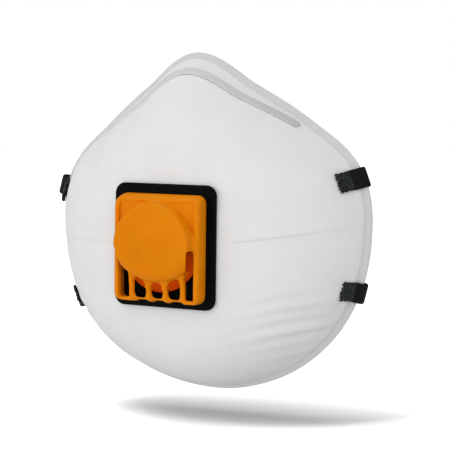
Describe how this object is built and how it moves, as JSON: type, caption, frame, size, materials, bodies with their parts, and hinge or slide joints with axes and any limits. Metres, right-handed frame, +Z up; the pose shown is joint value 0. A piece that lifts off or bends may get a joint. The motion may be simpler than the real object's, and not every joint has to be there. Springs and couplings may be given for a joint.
{
  "type": "dust mask",
  "caption": "Cup-shaped disposable dust mask: layered white nonwoven cup, nose clip, square exhalation valve with a ribbed cover and silicone flap, and flat elastic head straps.",
  "frame": {"origin": "where the valve's axis meets the plane of the wearer's cheeks, at the middle of the face seal", "axes": "+Z up towards the nose, -Y forward out of the valve, +Y back towards the face, +X to the right in the front view"},
  "size_m": [0.143, 0.0551, 0.135],
  "materials": {
    "cover_fabric": "matte white spunbond nonwoven",
    "filter_fabric": "matte white melt-blown nonwoven",
    "shell_fabric": "stiff moulded needle felt",
    "lining_fabric": "soft white nonwoven",
    "clip_metal": "satin pale grey coated aluminium strip",
    "nose_foam": "open-cell dark grey foam",
    "base_plastic": "matte black moulded plastic",
    "flap_silicone": "translucent silicone",
    "lid_plastic": "satin orange moulded plastic",
    "strap_elastic": "black braided elastic"
  },
  "bodies": {
    "root": {"outer_cover": "cover_fabric", "filter_layer": "filter_fabric", "support_shell": "shell_fabric", "inner_lining": "lining_fabric", "nose_clip": "clip_metal", "nose_foam": "nose_foam", "valve_base": "base_plastic", "valve_retainer": "base_plastic", "valve_cover": "lid_plastic", "strap_end_upper_right": "strap_elastic", "strap_end_upper_left": "strap_elastic", "strap_end_lower_right": "strap_elastic", "strap_end_lower_left": "strap_elastic"},
    "flap": {"valve_flap": "flap_silicone"},
    "upper_band": {"upper_strap": "strap_elastic"},
    "lower_band": {"lower_strap": "strap_elastic"}
  },
  "joints": [
    {"name": "flap_hinge", "type": "hinge", "parent": "root", "child": "flap", "pos_m": [0.00031, -0.037, 0.012], "axis": [-0.9997, 0, 0.0262], "range_deg": [0, 8], "stiffness_Nm_per_rad": 0.001},
    {"name": "upper_strap_swing", "type": "hinge", "parent": "root", "child": "upper_band", "pos_m": [0, 0.0015, 0.023], "axis": [1, 0, 0], "range_deg": [0, 135]},
    {"name": "lower_strap_swing", "type": "hinge", "parent": "root", "child": "lower_band", "pos_m": [0, 0.0018, -0.017], "axis": [1, 0, 0], "range_deg": [0, 100]}
  ]
}
